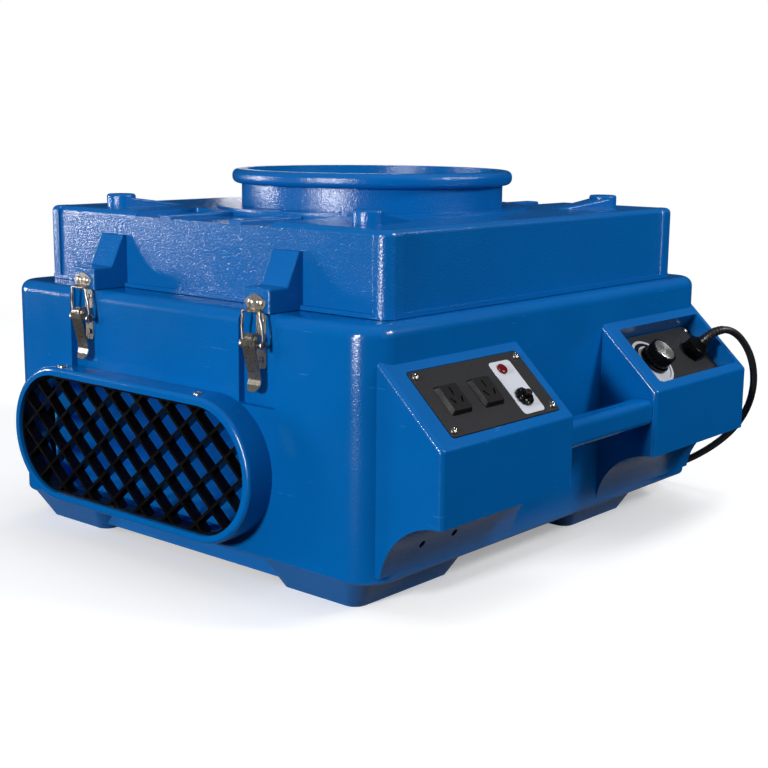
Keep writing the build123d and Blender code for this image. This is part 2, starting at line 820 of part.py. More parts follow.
with BuildPart() as latch_pins:
    for x, side in latches:
        with BuildSketch(latch_section(x, side)):
            with Locations(lever_pivot):
                Circle(pin_r)
        extrude(amount=lever_half_w + 0.8, both=True)
finish(latch_pins, "latch_pins")

keeper_half_w = 13.4
keeper_foot_z = 255.5
rivet_x = 5.6
rivet_z = 264.2
rivet_r = 3.6
with BuildPart() as keepers:
    for x, side in latches:
        with BuildSketch(latch_face(x, side)):
            with BuildLine():
                Polyline(
                    (-keeper_half_w, 264.5),
                    (-keeper_half_w + 1, 262.5),
                    (-8, keeper_foot_z),
                    (8, keeper_foot_z),
                    (keeper_half_w - 1, 262.5),
                    (keeper_half_w, 264.5),
                )
                ThreePointArc(
                    (keeper_half_w, 264.5), (0, 271.5), (-keeper_half_w, 264.5)
                )
            make_face()
        extrude(amount=strap_thick)
        with BuildSketch(latch_section(x, side)):
            Polygon(
                (0.6, keeper_foot_z),
                (nose_reach, keeper_foot_z),
                (nose_reach, 258),
                (0.6, 260),
                align=None,
            )
        extrude(amount=7.5, both=True)
finish(keepers, "keepers")

with BuildPart() as rivets:
    for x, side in latches:
        with BuildSketch(latch_face(x, side).offset(strap_thick)):
            with Locations((-rivet_x, rivet_z), (rivet_x, rivet_z)):
                Circle(rivet_r)
        extrude(amount=1.5, taper=25)
finish(rivets, "keeper_rivets")

with BuildPart() as plate_rivets:
    for x, side in latches:
        with BuildSketch(latch_face(x, side).offset(plate_front)):
            with Locations(*[(0, z) for z in plate_rivet_z]):
                Circle(2.6)
        extrude(amount=1.2, taper=25)
finish(plate_rivets, "latch_plate_rivets")

# ------------------------------------------------------------------ fan and filters
duct_half_x = 158.0
housing_skin = 3.0
mouth_r = 96.0


def volute(skin):
    """Plan outline of the fan casing and its outlet duct."""
    with BuildSketch() as outline:
        with Locations((fan_x, fan_y)):
            Circle(fan_r - skin)
        duct_length = fan_y + base_half_y - wall - 4
        with Locations((ring_x, fan_y - duct_length / 2)):
            Rectangle(2 * (duct_half_x - skin), duct_length + 2 * skin - 0.01)
    return outline.sketch


with BuildPart() as scroll_housing:
    with BuildSketch(level(fan_floor_z)):
        add(volute(0))
    extrude(amount=fan_lid_z - fan_floor_z)
    with BuildSketch(level(fan_floor_z + housing_skin)):
        add(volute(housing_skin))
    extrude(amount=fan_lid_z - fan_floor_z - 2 * housing_skin, mode=Mode.SUBTRACT)
    with BuildSketch(level(fan_lid_z - 4)):
        with Locations((fan_x, fan_y)):
            Circle(mouth_r)
    extrude(amount=8, mode=Mode.SUBTRACT)
    with BuildSketch(level(fan_floor_z - 1)):
        with Locations((fan_x, fan_y)):
            with PolarLocations(45, 4, 45):
                Circle(3.1)
    extrude(amount=5, mode=Mode.SUBTRACT)
finish(scroll_housing, "scroll_housing")

with BuildPart() as fan_deck:
    with BuildSketch(level(fan_deck_z)):
        RectangleRounded(2 * (base_half_x - wall - 1), 2 * (base_half_y - wall - 14), 20)
        with Locations((fan_x, fan_y)):
            Circle(mouth_r + 1, mode=Mode.SUBTRACT)
    extrude(amount=2)
finish(fan_deck, "fan_deck")

with BuildPart() as inlet_ring:
    with BuildSketch(front(fan_y, fan_x)):
        with BuildLine():
            Polyline((88, 161), (85.5, 161), (85.5, 176))
            RadiusArc((85.5, 176), (96.5, 185.5), -12)
            Polyline((96.5, 185.5), (96.5, 188), (88, 180), (88, 161))
        make_face()
    revolve(axis=Axis((centre_x + fan_x, centre_y + fan_y, 0), (0, 0, 1)))
finish(inlet_ring, "inlet_ring")

with BuildPart() as fan_motor:
    with BuildSketch(place(level(fan_floor_z + 3), fan_x, fan_y)):
        Circle(55)
    extrude(amount=4)
    with BuildSketch(place(level(fan_floor_z + 7), fan_x, fan_y)):
        Circle(46)
    extrude(amount=40)
    fillet(fan_motor.edges().group_by(Axis.Z)[-1], radius=6)
    with BuildSketch(place(level(fan_floor_z + 47), fan_x, fan_y)):
        Circle(5.95)
    extrude(amount=34)
finish(fan_motor, "fan_motor")

with BuildPart() as motor_bolts:
    with BuildSketch(level(fan_floor_z - 4)):
        with Locations((fan_x, fan_y)):
            with PolarLocations(45, 4, 45):
                Circle(5)
    extrude(amount=4)
    with BuildSketch(level(fan_floor_z)):
        with Locations((fan_x, fan_y)):
            with PolarLocations(45, 4, 45):
                Circle(3)
    extrude(amount=3)
finish(motor_bolts, "motor_bolts")

with BuildPart() as impeller:
    hub = level(fan_floor_z + 52)
    with BuildSketch(place(hub, fan_x, fan_y)):
        Circle(impeller_r)
        Circle(6, mode=Mode.SUBTRACT)
    extrude(amount=3)
    with BuildSketch(place(hub, fan_x, fan_y)):
        Circle(22)
        Circle(6, mode=Mode.SUBTRACT)
    extrude(amount=26)
    with BuildSketch(place(hub.offset(1), fan_x, fan_y)):
        for blade in range(9):
            with Locations(Location((0, 0, 0), (0, 0, blade * 40))):
                with Locations(Location((86, 0, 0), (0, 0, 35))):
                    Rectangle(62, 2.5)
        Circle(impeller_r, mode=Mode.INTERSECT)
    extrude(amount=60)
    with BuildSketch(place(hub.offset(58), fan_x, fan_y)):
        Circle(impeller_r)
        Circle(90, mode=Mode.SUBTRACT)
    extrude(amount=3)
finish(impeller, "impeller")

with BuildPart() as capacitor:
    with BuildSketch(place(level(pan_z + wall + 24), 214, -40)):
        Circle(18)
    extrude(amount=75)
    fillet(capacitor.edges().group_by(Axis.Z)[-1], radius=3)
finish(capacitor, "capacitor")

with BuildPart() as pressure_switch:
    with BuildSketch(right(base_half_x - wall - 32)):
        with Locations((20, 130)):
            Circle(24)
    extrude(amount=22)
    with BuildSketch(right(base_half_x - wall - 12)):
        with Locations((20, 130)):
            Rectangle(30, 30)
    extrude(amount=12)
finish(pressure_switch, "pressure_switch")

filter_half_x = 200.0
filter_half_y = 208.0
with BuildPart() as hepa_frame:
    with BuildSketch(level(fan_deck_z + 2)):
        Rectangle(2 * filter_half_x, 2 * filter_half_y)
        Rectangle(2 * filter_half_x - 36, 2 * filter_half_y - 36, mode=Mode.SUBTRACT)
    extrude(amount=78)
finish(hepa_frame, "hepa_frame")

with BuildPart() as hepa_media:
    with BuildSketch(level(fan_deck_z + 6)):
        Rectangle(2 * filter_half_x - 36, 2 * filter_half_y - 36)
    extrude(amount=70)
finish(hepa_media, "hepa_media")

with BuildPart() as prefilter:
    with BuildSketch(level(fan_deck_z + 80)):
        Rectangle(2 * filter_half_x, 2 * filter_half_y)
    extrude(amount=24)
finish(prefilter, "prefilter")

with BuildPart() as filter_clamp:
    with BuildSketch(level(fan_deck_z + 104)):
        Rectangle(2 * filter_half_x, 2 * filter_half_y)
        Rectangle(2 * filter_half_x - 24, 2 * filter_half_y - 24, mode=Mode.SUBTRACT)
        with Locations((0, 0), (0, 130), (0, -130)):
            Rectangle(2 * filter_half_x - 20, 12)
        with Locations((0, 0), (130, 0), (-130, 0)):
            Rectangle(12, 2 * filter_half_y - 20)
    extrude(amount=5)
finish(filter_clamp, "filter_clamp")

# ------------------------------------------------------------------ power cord
coil_at = (90.0, 368.0)
coil_mean_r = 46.0
coil_width = 34.0
coil_foot = 1.8
coil_height = 32.0
gland_exit = place(slope(plate_top + gland_tip), *gland_at).origin
start = (gland_exit.X - centre_x, gland_exit.Y - centre_y, gland_exit.Z)
cord_route = [
    start,
    (293.8, 233.5, 196.8),
    (299.5, 240.0, 201.5),
    (305.5, 251.0, 202.5),
    (310.0, 264.5, 197.0),
    (314.0, 277.0, 186.0),
    (318.0, 287.0, 170.5),
    (320.0, 293.5, 152.0),
    (319.0, 297.0, 131.5),
    (313.0, 299.5, 110.0),
    (302.0, 301.5, 89.5),
    (286.0, 303.0, 70.5),
    (266.0, 305.0, 53.0),
    (243.0, 307.5, 37.0),
    (218.0, 311.0, 23.5),
    (191.5, 315.0, 13.0),
    (164.0, 319.0, 6.5),
    (140.0, 321.8, 4.3),
    (122.0, 322.4, 4.1),
]
tail_route = [
    (99.0, 309.5, 13.0),
    (80.0, 303.5, 9.5),
    (60.0, 301.5, 5.5),
    (38.0, 301.5, 4.2),
    (14.0, 303.0, 4.6),
    (-8.0, 305.0, 8.0),
]


def tube(route, label):
    """A cord run as a tube of straight runs joined by arcs, with its arcs' radii printed."""
    points = [Vector(*point) + Vector(centre_x, centre_y, 0) for point in route]
    runs = [(b - a).length for a, b in zip(points, points[1:])]
    radii = []
    for index in range(1, len(points) - 1):
        incoming = points[index] - points[index - 1]
        outgoing = points[index + 1] - points[index]
        half_turn = math.radians(incoming.get_angle(outgoing)) / 2
        radii.append(0.45 * min(runs[index - 1], runs[index]) / math.tan(half_turn))
    with BuildPart() as cord:
        with BuildLine() as path:
            FilletPolyline(*points, radius=radii)
        with BuildSketch(Plane(points[0], z_dir=points[1] - points[0])):
            Circle(cord_r)
        sweep()
    length = sum(edge.length for edge in path.edges())
    share = cord.part.volume / (math.pi * cord_r**2 * length)
    print(label, "length", round(length), "volume share", round(share, 4))
    print("  runs", [round(run) for run in runs], "radii", [round(radius) for radius in radii])
    return cord, length


power_cord, free_length = tube(cord_route, "power_cord")
finish(power_cord, "power_cord")
cord_tail, tail_length = tube(tail_route, "cord_tail")
finish(cord_tail, "cord_tail")

with BuildPart() as cord_coil:
    with BuildSketch(front(coil_at[1], coil_at[0])):
        with Locations((coil_mean_r, coil_foot + coil_height / 2)):
            RectangleRounded(coil_width, coil_height, 10)
    revolve(axis=Axis((centre_x + coil_at[0], centre_y + coil_at[1], 0), (0, 0, 1)))
finish(cord_coil, "cord_coil")

with BuildPart() as cord_tie:
    with BuildSketch(front(coil_at[1], coil_at[0])):
        with Locations((coil_mean_r, coil_foot + coil_height / 2)):
            RectangleRounded(coil_width + 6.6, coil_height + 3.6, 11.8)
            RectangleRounded(coil_width + 3.6, coil_height + 0.6, 10.3, mode=Mode.SUBTRACT)
    extrude(amount=8, both=True)
finish(cord_tie, "cord_tie")

plug_end = tail_route[-1]
plug_axis = Vector(-1, 0, 0)
plug_seat = (plug_end[0] + centre_x, plug_end[1] + centre_y, plug_end[2])
with BuildPart() as plug_body:
    with BuildSketch(Plane(plug_seat, x_dir=(0, 1, 0), z_dir=plug_axis)):
        Circle(6.5)
    with BuildSketch(
        Plane((plug_seat[0] - 14, plug_seat[1], 13), x_dir=(0, 1, 0), z_dir=plug_axis)
    ):
        Circle(8)
    loft()
    with BuildSketch(
        Plane((plug_seat[0] - 13.5, plug_seat[1], 13), x_dir=(0, 1, 0), z_dir=plug_axis)
    ):
        RectangleRounded(30, 24, 7)
    extrude(amount=22)
finish(plug_body, "plug_body")

with BuildPart() as plug_pins:
    with BuildSketch(
        Plane((plug_seat[0] - 35.5, plug_seat[1], 13), x_dir=(0, 1, 0), z_dir=plug_axis)
    ):
        for spot, lean, length in blade_slots:
            with Locations(Location((spot[0] * 1.15, spot[1], 0), (0, 0, lean))):
                Rectangle(length - 0.6, 1.6)
    extrude(amount=17)
finish(plug_pins, "plug_pins")

turn_length = 2 * math.pi * coil_mean_r
turns = 16
print("cord length", round(free_length + tail_length + turns * turn_length))
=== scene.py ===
import json
import math
import random

import bmesh
import bpy
from mathutils import Matrix, Vector

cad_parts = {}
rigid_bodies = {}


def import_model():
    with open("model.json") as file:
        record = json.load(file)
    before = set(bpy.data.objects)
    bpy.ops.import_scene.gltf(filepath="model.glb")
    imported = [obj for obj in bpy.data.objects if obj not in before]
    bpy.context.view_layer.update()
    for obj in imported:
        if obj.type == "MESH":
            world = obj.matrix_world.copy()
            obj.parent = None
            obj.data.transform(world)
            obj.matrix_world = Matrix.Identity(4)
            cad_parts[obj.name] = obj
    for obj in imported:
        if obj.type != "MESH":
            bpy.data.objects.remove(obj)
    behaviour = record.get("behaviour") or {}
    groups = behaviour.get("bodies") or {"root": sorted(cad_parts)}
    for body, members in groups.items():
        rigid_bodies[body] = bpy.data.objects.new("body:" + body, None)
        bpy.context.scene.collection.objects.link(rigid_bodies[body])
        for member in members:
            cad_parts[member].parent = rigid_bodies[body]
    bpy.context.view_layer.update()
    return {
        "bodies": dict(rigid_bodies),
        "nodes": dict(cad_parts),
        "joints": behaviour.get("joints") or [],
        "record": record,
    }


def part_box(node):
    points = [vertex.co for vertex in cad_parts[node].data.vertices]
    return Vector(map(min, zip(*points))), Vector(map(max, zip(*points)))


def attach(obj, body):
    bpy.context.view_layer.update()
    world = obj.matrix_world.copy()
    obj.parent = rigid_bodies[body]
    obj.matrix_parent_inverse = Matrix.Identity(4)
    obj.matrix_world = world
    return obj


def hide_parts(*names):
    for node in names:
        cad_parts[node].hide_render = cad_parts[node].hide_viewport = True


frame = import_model()
nodes = frame["nodes"]

MM = 0.001


def middle_of(node):
    low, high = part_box(node)
    return (Vector(low) + Vector(high)) / 2


# The filter's frame stands over the middle of the base; part.py measures from there.
BASE = middle_of("hepa_frame")


def at(x, y, z):
    """Row position, in metres, of a point given in millimetres from the base's middle."""
    return Vector((BASE.x + x * MM, BASE.y + y * MM, z * MM))


# ------------------------------------------------------------------ camera
CAMERA_PLACE = (982.1, -1117.1, 420.4)
CAMERA_TURNS = (40.57, 10.83, 0.58)

camera_data = bpy.data.cameras.new("camera")
camera_data.sensor_width = 36
camera_data.lens = 63.8
camera = bpy.data.objects.new("camera", camera_data)
bpy.context.scene.collection.objects.link(camera)
yaw, pitch, roll = (math.radians(angle) for angle in CAMERA_TURNS)
aim = Vector(
    (-math.sin(yaw) * math.cos(pitch), math.cos(yaw) * math.cos(pitch), -math.sin(pitch))
)
level_right = Vector((math.cos(yaw), math.sin(yaw), 0))
level_up = level_right.cross(aim)
right = math.cos(roll) * level_right + math.sin(roll) * level_up
up = right.cross(aim)
facing = Matrix((right, up, -aim)).transposed().to_4x4()
camera.matrix_world = Matrix.Translation(at(*CAMERA_PLACE)) @ facing
bpy.context.scene.camera = camera

# ------------------------------------------------------------------ cord route
CORD_D = 0.008
CORD_ROUTE = [
    (287.3, 232.0, 189.3),
    (293.8, 233.5, 196.8),
    (299.5, 240.0, 201.5),
    (305.5, 251.0, 202.5),
    (310.0, 264.5, 197.0),
    (314.0, 277.0, 186.0),
    (318.0, 287.0, 170.5),
    (320.0, 293.5, 152.0),
    (319.0, 297.0, 131.5),
    (313.0, 299.5, 110.0),
    (302.0, 301.5, 89.5),
    (286.0, 303.0, 70.5),
    (266.0, 305.0, 53.0),
    (243.0, 307.5, 37.0),
    (218.0, 311.0, 23.5),
    (191.5, 315.0, 13.0),
    (164.0, 319.0, 6.5),
    (140.0, 321.8, 4.3),
]
TAIL_ROUTE = [
    (99.0, 309.5, 13.4),
    (80.0, 303.5, 9.5),
    (60.0, 301.5, 5.5),
    (38.0, 301.5, 4.2),
    (14.0, 303.0, 4.6),
    (-8.0, 305.0, 8.0),
]
COIL_MIDDLE = (90.0, 368.0)
COIL_START = math.radians(-55)
COIL_INNER = 34.0
COIL_PITCH = 8.0
COIL_FLOOR = 5.8
# column and layer of each turn, in the order that they are wound
COIL_ORDER = [
    (3, 0), (2, 0), (1, 0), (0, 0), (0, 1), (0, 2), (0, 3), (1, 3),
    (2, 3), (3, 3), (3, 2), (2, 2), (1, 2), (1, 1), (2, 1), (3, 1),
]
PASSING_FROM = 0.75
TURN_POINTS = 14
# A quadratic spline runs this much inside the polygon of a turn's points.
TURN_SHRINK = math.cos(math.pi / TURN_POINTS)


def coil_turns():
    """Points of the stored turns, each one passing to the next over its last quarter."""
    points = []
    for turn, (column, row) in enumerate(COIL_ORDER):
        after = COIL_ORDER[min(turn + 1, len(COIL_ORDER) - 1)]
        for step in range(TURN_POINTS):
            share = step / TURN_POINTS
            ease = max(0.0, (share - PASSING_FROM) / (1 - PASSING_FROM))
            ring = column + (after[0] - column) * ease
            layer = row + (after[1] - row) * ease
            radius = (COIL_INNER + COIL_PITCH * ring) / TURN_SHRINK
            angle = COIL_START - 2 * math.pi * share
            points.append((
                COIL_MIDDLE[0] + radius * math.cos(angle),
                COIL_MIDDLE[1] + radius * math.sin(angle),
                COIL_FLOOR + COIL_PITCH * layer,
            ))
    return points


def nurbs(name, points, radius):
    """A round cord on one smooth spline, with the points as its control points."""
    data = bpy.data.curves.new(name, "CURVE")
    data.dimensions = "3D"
    # the thickness sits in the points, because a curve's bounds take it from there
    data.bevel_depth = 1.0
    data.bevel_resolution = 6
    data.use_fill_caps = True
    data.resolution_u = 8
    spline = data.splines.new("NURBS")
    spline.points.add(len(points) - 1)
    for target, point in zip(spline.points, points):
        target.co = (*at(*point), 1)
        target.radius = radius
    spline.order_u = 3
    spline.use_endpoint_u = True
    piece = bpy.data.objects.new(name, data)
    bpy.context.scene.collection.objects.link(piece)
    return piece


mains_cord = nurbs("mains_cord", CORD_ROUTE + coil_turns() + TAIL_ROUTE, CORD_D / 2)
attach(mains_cord, "base")
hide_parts("power_cord", "cord_coil", "cord_tail")


def centre_line(piece):
    """Points along a curve object's spline, read with its bevel taken off."""
    depth = piece.data.bevel_depth
    piece.data.bevel_depth = 0
    graph = bpy.context.evaluated_depsgraph_get()
    graph.update()
    line = bpy.data.meshes.new_from_object(piece.evaluated_get(graph))
    points = [vertex.co.copy() for vertex in line.vertices]
    bpy.data.meshes.remove(line)
    piece.data.bevel_depth = depth
    return points


CORD_LINE = centre_line(mains_cord)


# ------------------------------------------------------------------ materials
def map_range(tree, source, low, high, from_low, from_high):
    """A node that takes source from one range of values to another; gives its output."""
    node = tree.nodes.new("ShaderNodeMapRange")
    limits = {"From Min": from_low, "From Max": from_high, "To Min": low, "To Max": high}
    for socket, value in limits.items():
        node.inputs[socket].default_value = value
    tree.links.new(source, node.inputs["Value"])
    return node.outputs["Result"]


class Shader:
    """A Principled material with short calls for the nodes that feed it."""

    def __init__(self, name, base, roughness, **sockets):
        self.material = bpy.data.materials.new(name)
        self.material.use_nodes = True
        self.tree = self.material.node_tree
        self.main = self.tree.nodes["Principled BSDF"]
        self.main.inputs["Base Color"].default_value = (*base, 1)
        self.main.inputs["Roughness"].default_value = roughness
        for socket, value in sockets.items():
            self.main.inputs[socket.replace("_", " ")].default_value = value
        self.place = self.tree.nodes.new("ShaderNodeTexCoord").outputs["Object"]
        self.height = None

    def link(self, source, target):
        self.tree.links.new(source, target)

    def noise(self, scale, detail=3.0, rough=0.5, stretch=None):
        source = self.place
        if stretch:
            mapping = self.tree.nodes.new("ShaderNodeMapping")
            mapping.inputs["Scale"].default_value = stretch
            self.link(source, mapping.inputs["Vector"])
            source = mapping.outputs["Vector"]
        node = self.tree.nodes.new("ShaderNodeTexNoise")
        node.inputs["Scale"].default_value = scale
        node.inputs["Detail"].default_value = detail
        node.inputs["Roughness"].default_value = rough
        self.link(source, node.inputs["Vector"])
        return node.outputs["Fac"]

    def ramp(self, source, low, high, from_low=0.3, from_high=0.7):
        return map_range(self.tree, source, low, high, from_low, from_high)

    def colours(self, source, first, second):
        """Base colour that goes with source from first, a colour or an output, to second."""
        node = self.tree.nodes.new("ShaderNodeMix")
        node.data_type = "RGBA"
        if isinstance(first, tuple):
            node.inputs["A"].default_value = (*first, 1)
        else:
            self.link(first, node.inputs["A"])
        node.inputs["B"].default_value = (*second, 1)
        self.link(source, node.inputs["Factor"])
        self.link(node.outputs["Result"], self.main.inputs["Base Color"])
        return node.outputs["Result"]

    def rough(self, source):
        self.link(source, self.main.inputs["Roughness"])

    def bump(self, source, distance, strength=1.0):
        """Add a bump of a distance in metres to those before it."""
        node = self.tree.nodes.new("ShaderNodeBump")
        node.inputs["Distance"].default_value = distance
        node.inputs["Strength"].default_value = strength
        self.link(source, node.inputs["Height"])
        if self.height:
            self.link(self.height, node.inputs["Normal"])
        self.height = node.outputs["Normal"]
        self.link(self.height, self.main.inputs["Normal"])


def blue_moulding(name, low, high, grain):
    """Moulded polyethylene; grain is the height of its orange peel in metres."""
    s = Shader(name, (0.0, 0.115, 0.4), (low + high) / 2, Specular_IOR_Level=0.5)
    blue = s.colours(s.ramp(s.noise(9, 4), 0, 1), (0.0, 0.11, 0.38), (0.0, 0.122, 0.42))
    # sparse fine scuffs from handling, where a noise of flat streaks is near its highest
    streaks = s.noise(34, 3, 0.6, stretch=(1.0, 1.1, 14.0))
    scuffs = s.ramp(streaks, 0, 0.55, from_low=0.705, from_high=0.74)
    s.colours(scuffs, blue, (0.05, 0.2, 0.52))
    s.rough(s.ramp(s.noise(16, 5), low, high))
    s.bump(s.noise(26, 2), 0.0012, 0.2)
    s.bump(s.noise(700, 0), grain)
    return s.material


# painted light: the scroll housing's blue is painted far brighter and more saturated than the
# outer moulding, standing in for light that falls inside through the grille
def inner_blue_painted_light():
    s = Shader("inner_blue_painted_light", (0.004, 0.33, 0.92), 0.42)
    s.rough(s.ramp(s.noise(30, 4), 0.35, 0.5))
    s.bump(s.noise(420, 2), 0.0002, 0.7)
    return s.material


def black_plastic(name, low, high):
    s = Shader(name, (0.003, 0.003, 0.0035), (low + high) / 2, Specular_IOR_Level=0.3)
    s.rough(s.ramp(s.noise(60, 4), low, high))
    s.bump(s.noise(900, 2), 0.00008, 0.5)
    return s.material


def dark_panel():
    s = Shader("dark_panel", (0.022, 0.022, 0.024), 0.5, Specular_IOR_Level=0.3)
    s.colours(s.ramp(s.noise(1400, 2), 0, 1), (0.013, 0.013, 0.015), (0.028, 0.028, 0.03))
    s.bump(s.noise(1500, 2), 0.00008, 0.7)
    return s.material


def pale_label():
    s = Shader("pale_label", (0.6, 0.62, 0.68), 0.4)
    s.rough(s.ramp(s.noise(120, 3), 0.32, 0.45))
    return s.material


def red_lens():
    s = Shader("red_lens", (0.13, 0.002, 0.005), 0.16)
    s.bump(s.noise(300, 1), 0.0002, 0.5)
    return s.material


def bare_metal(name, base, rough, stretch=(1, 1, 1)):
    """Metal whose gloss varies finely, in lines where stretch is uneven."""
    s = Shader(name, base, rough, Metallic=1.0)
    s.rough(s.ramp(s.noise(1500, 2, 0.5, stretch), rough - 0.07, rough + 0.07))
    return s.material


def rubber():
    s = Shader("cord_rubber", (0.012, 0.012, 0.013), 0.42)
    s.rough(s.ramp(s.noise(80, 3), 0.34, 0.5))
    s.bump(s.noise(700, 2), 0.00006, 0.6)
    return s.material


def foam():
    s = Shader("gasket_foam", (0.03, 0.03, 0.032), 0.85)
    s.bump(s.noise(900, 2), 0.0003, 0.8)
    return s.material


def media():
    s = Shader("filter_media", (0.82, 0.82, 0.78), 0.9)
    s.colours(s.ramp(s.noise(160, 5), 0, 1), (0.74, 0.74, 0.7), (0.86, 0.86, 0.83))
    s.bump(s.noise(700, 3), 0.0006, 0.9)
    return s.material


MATERIALS = {
    "blue": blue_moulding("blue_moulding", 0.14, 0.2, 0.0001),
    "grained": blue_moulding("grained_blue_moulding", 0.2, 0.26, 0.00032),
    "inner": inner_blue_painted_light(),
    "black": black_plastic("black_plastic", 0.32, 0.5),
    "gloss": black_plastic("gloss_black", 0.16, 0.3),
    "socket": black_plastic("socket_plastic", 0.5, 0.65),
    "panel": dark_panel(),
    "label": pale_label(),
    "lens": red_lens(),
    "steel": bare_metal("bright_steel", (0.5, 0.455, 0.4), 0.32, (1, 1, 0.06)),
    "cap": bare_metal("knob_cap_metal", (0.95, 0.95, 0.95), 0.26),
    "zinc": bare_metal("galvanised_sheet", (0.5, 0.51, 0.53), 0.42),
    "casting": bare_metal("motor_casting", (0.3, 0.31, 0.32), 0.5),
    "rubber": rubber(),
    "foam": foam(),
    "media": media(),
}
# the record's material slots, and the look of each
SLOT_LOOKS = {
    "blue_plastic": "blue",
    "black_plastic": "black",
    "dark_panel": "panel",
    "label_white": "label",
    "red_lens": "lens",
    "steel": "steel",
    "bright_cap": "cap",
    "galvanised": "zinc",
    "rubber_black": "rubber",
    "gasket_foam": "foam",
    "filter_media": "media",
    "filter_frame": "zinc",
    "motor_casting": "casting",
}


def dress(obj, look):
    obj.data.materials.clear()
    obj.data.materials.append(MATERIALS[look])


for entry in frame["record"]["subparts"]:
    dress(nodes[entry["node"]], SLOT_LOOKS[entry["material_slot"]])
dress(nodes["lid_shell"], "grained")
# the scroll housing gets the brighter blue, painted light inside the grille
dress(nodes["scroll_housing"], "inner")
dress(mains_cord, "rubber")
for name in ("exhaust_grille", "speed_knob", "gland_nut", "cable_gland"):
    dress(nodes[name], "gloss")
for name in ("socket_outlet_1", "socket_outlet_2"):
    dress(nodes[name], "socket")

# ------------------------------------------------------------------ places
# In millimetres, as in part.py. A spot on the slope is (across, up) from its middle, and
# OUT, UP and TOP measure from a panel's middle or off the slope.
ACROSS = Vector((0, 1, 0))
SLOPE_MIDDLE = (288.0, 0.0, 190.0)
SLOPE_RUN, SLOPE_FALL = 66.0, 62.0
UP_SLOPE = Vector((-SLOPE_RUN, 0, SLOPE_FALL)).normalized()
OFF_SLOPE = Vector((SLOPE_FALL, 0, SLOPE_RUN)).normalized()
PANEL_TOP = 0.5
LABEL_TOP = PANEL_TOP + 0.3
TRAY_TOP = -20.0
DIAL_TOP = TRAY_TOP + 0.42
KNOB = (147.0, 0.3)
KNOB_TOP = TRAY_TOP + 19.4
KNOB_CAP_R = 12.6
BREAKER = (-127.0, -14.7)
PANEL_MIDDLE, TRAY_MIDDLE = -169.0, 178.0
PANEL_SCREW_OUT, TRAY_SCREW_OUT, SCREW_UP = 73.0, 75.0, 29.0
FACE_Y = 284.0
RING_SCREW_X = (-142.0, 62.0)
RING_SCREW_Y = -303.0
RING_MIDDLE_Z, RING_SCREW_UP = 107.5, 69.0
LATCHES = [(x, side) for side in (-1, 1) for x in (-128.0, 119.0)]
KEEPER_RIVET_OUT, KEEPER_RIVET_Z, KEEPER_FACE = 5.6, 264.2, 1.2


def frame_at(spot, along, out):
    """A local frame: x is along, z is out and y completes them."""
    side = out.cross(along)
    axes = Matrix((along, side, out)).transposed().to_4x4()
    return Matrix.Translation(spot) @ axes


def on_slope(across, up, lift):
    """Frame on the pods' slope, from its middle: z stands off it and y runs up it."""
    offset = (ACROSS * across + UP_SLOPE * up + OFF_SLOPE * lift) * MM
    return frame_at(at(*SLOPE_MIDDLE) + offset, ACROSS, OFF_SLOPE)


def on_face(x, side, z, reach):
    """Frame on the base's front or back face, reach in front of it."""
    out = Vector((0, side, 0))
    return frame_at(at(x, side * (FACE_Y + reach), z), Vector((-side, 0, 0)), out)


def polar(radius, angle, height=0.0):
    """Point of a local frame, in metres, from millimetres and an angle round its z."""
    return Vector((radius * math.cos(angle), radius * math.sin(angle), height)) * MM


# ------------------------------------------------------------------ piece builders
def new_piece(name, form, look, body, stands_for=(), shade_angle=35):
    mesh = bpy.data.meshes.new(name)
    bmesh.ops.recalc_face_normals(form, faces=form.faces)
    form.to_mesh(mesh)
    form.free()
    piece = bpy.data.objects.new(name, mesh)
    bpy.context.scene.collection.objects.link(piece)
    mesh.shade_smooth()
    mesh.set_sharp_from_angle(angle=math.radians(shade_angle))
    dress(piece, look)
    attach(piece, body)
    if stands_for:
        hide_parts(*stands_for)
    return piece


def turned(form, frame, profile, segments=48, shape=None):
    """Add a turned solid to form.

    profile lists (radius, height) in millimetres, and shape, if given, changes a point's
    radius and height by its angle.
    """
    rings = []
    for radius, height in profile:
        ring = []
        count = 1 if radius == 0 else segments
        for step in range(count):
            angle = 2 * math.pi * step / segments
            r, h = shape(radius, height, angle) if shape else (radius, height)
            ring.append(form.verts.new(frame @ polar(r, angle, h)))
        rings.append(ring)
    for inner, outer in zip(rings, rings[1:]):
        for step in range(segments):
            after = (step + 1) % segments
            corners = [inner[step % len(inner)], outer[step % len(outer)]]
            corners += [outer[after % len(outer)], inner[after % len(inner)]]
            unique = list(dict.fromkeys(corners))
            if len(unique) > 2:
                form.faces.new(unique)
    for ends in (rings[0], rings[-1]):
        if len(ends) > 1:
            form.faces.new(ends)


def tube(form, rings):
    """Join rings of vertices into a closed skin."""
    for first, second in zip(rings, rings[1:]):
        for step in range(len(first)):
            after = (step + 1) % len(first)
            form.faces.new((first[step], second[step], second[after], first[after]))
    form.faces.new(rings[0])
    form.faces.new(rings[-1])


def pan_head(form, frame, radius, height):
    """A domed screw head with a cross recess."""
    slot_half, slot_reach, slot_depth = 0.16 * radius, 0.62 * radius, 0.34 * height
    crown = 0.4 * height
    fullness = 0.86
    steps = 16

    def recess(r, h, angle):
        x, y = abs(r * math.cos(angle)), abs(r * math.sin(angle))
        inside = (x < slot_half and y < slot_reach) or (y < slot_half and x < slot_reach)
        return (r, h - slot_depth) if inside and h > crown else (r, h)

    profile = [(0, height)]
    for step in range(1, steps + 1):
        r = radius * math.sin(math.pi / 2 * step / steps)
        profile.append((r, height * math.sqrt(1 - fullness * (r / radius) ** 2)))
    profile.append((radius, 0))
    turned(form, frame, profile, 64, recess)


def rivet_head(form, frame, radius, height):
    """A plain dome."""
    steps = 8
    profile = [(0, height)]
    for step in range(1, steps + 1):
        angle = math.pi / 2 * step / steps
        profile.append((radius * math.sin(angle), height * math.cos(angle)))
    turned(form, frame, profile, 32)


